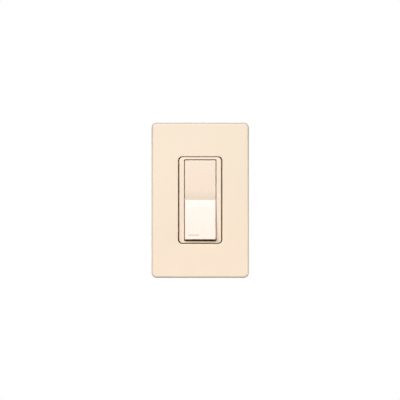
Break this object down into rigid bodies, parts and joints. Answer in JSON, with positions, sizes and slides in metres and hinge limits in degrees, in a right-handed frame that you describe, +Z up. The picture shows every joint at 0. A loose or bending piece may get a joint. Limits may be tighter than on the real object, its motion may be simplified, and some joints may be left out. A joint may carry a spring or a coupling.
{
  "type": "wall switch",
  "caption": "Single-pole wall switch with a rocking paddle in a slim frame, on a steel yoke, behind a smooth screwless clip-on wall plate.",
  "frame": {"origin": "midway between the two box screws, on the finished wall surface (back of the yoke)", "axes": "+X to the right and +Z up as the installed switch is seen, -Y out of the wall to the user"},
  "size_m": [0.0746, 0.0366, 0.119],
  "materials": {
    "ivory_cover": "smooth satin moulding",
    "ivory_carrier": "matt moulding",
    "ivory_device": "smooth satin moulding",
    "zinc_steel": "bright zinc plating",
    "brass": "stamped and tumbled",
    "silver": "silver alloy",
    "stainless": "rolled spring strip",
    "green_steel": "green dyed plating",
    "housing_plastic": "matt glass-filled moulding",
    "nylon": "natural nylon",
    "red_fibre": "vulcanised fibre"
  },
  "bodies": {
    "frame": {"faceplate": "ivory_cover", "adapter_plate": "ivory_carrier", "adapter_screw_upper": "zinc_steel", "adapter_screw_lower": "zinc_steel", "yoke": "zinc_steel", "mounting_screw_upper": "zinc_steel", "mounting_screw_lower": "zinc_steel", "screw_retainer_upper": "red_fibre", "screw_retainer_lower": "red_fibre", "ground_screw": "green_steel", "bezel_frame": "ivory_device", "fixed_contact": "silver", "common_terminal": "brass", "load_terminal": "brass", "common_binding_screw": "brass", "load_binding_screw": "brass", "common_wire_spring": "stainless", "load_wire_spring": "stainless", "rear_housing": "housing_plastic", "assembly_screw_1": "zinc_steel", "assembly_screw_2": "zinc_steel", "assembly_screw_3": "zinc_steel", "assembly_screw_4": "zinc_steel"},
    "paddle": {"paddle": "ivory_device", "plunger_spring": "stainless"},
    "plunger": {"plunger": "nylon"},
    "contact_bridge": {"contact_bridge": "brass", "moving_contact": "silver"}
  },
  "joints": [
    {"name": "paddle_tilt", "type": "hinge", "parent": "frame", "child": "paddle", "pos_m": [0, -0.0032, 0], "axis": [1, 0, 0], "range_deg": [0, 6.4]},
    {"name": "plunger_slide", "type": "slide", "parent": "paddle", "child": "plunger", "axis": [0, 0.9984, -0.0558], "range_m": [-0.0006, 0], "stiffness_N_per_m": 400, "springref_m": 0.0025, "deforming": ["plunger_spring"]},
    {"name": "bridge_rock", "type": "hinge", "parent": "frame", "child": "contact_bridge", "pos_m": [0, 0.0144, 0], "axis": [1, 0, 0], "range_deg": [-9.6, 0]}
  ],
  "couplings": [
    {"joint": "bridge_rock", "follows": "paddle_tilt", "ratio": -1.5}
  ]
}
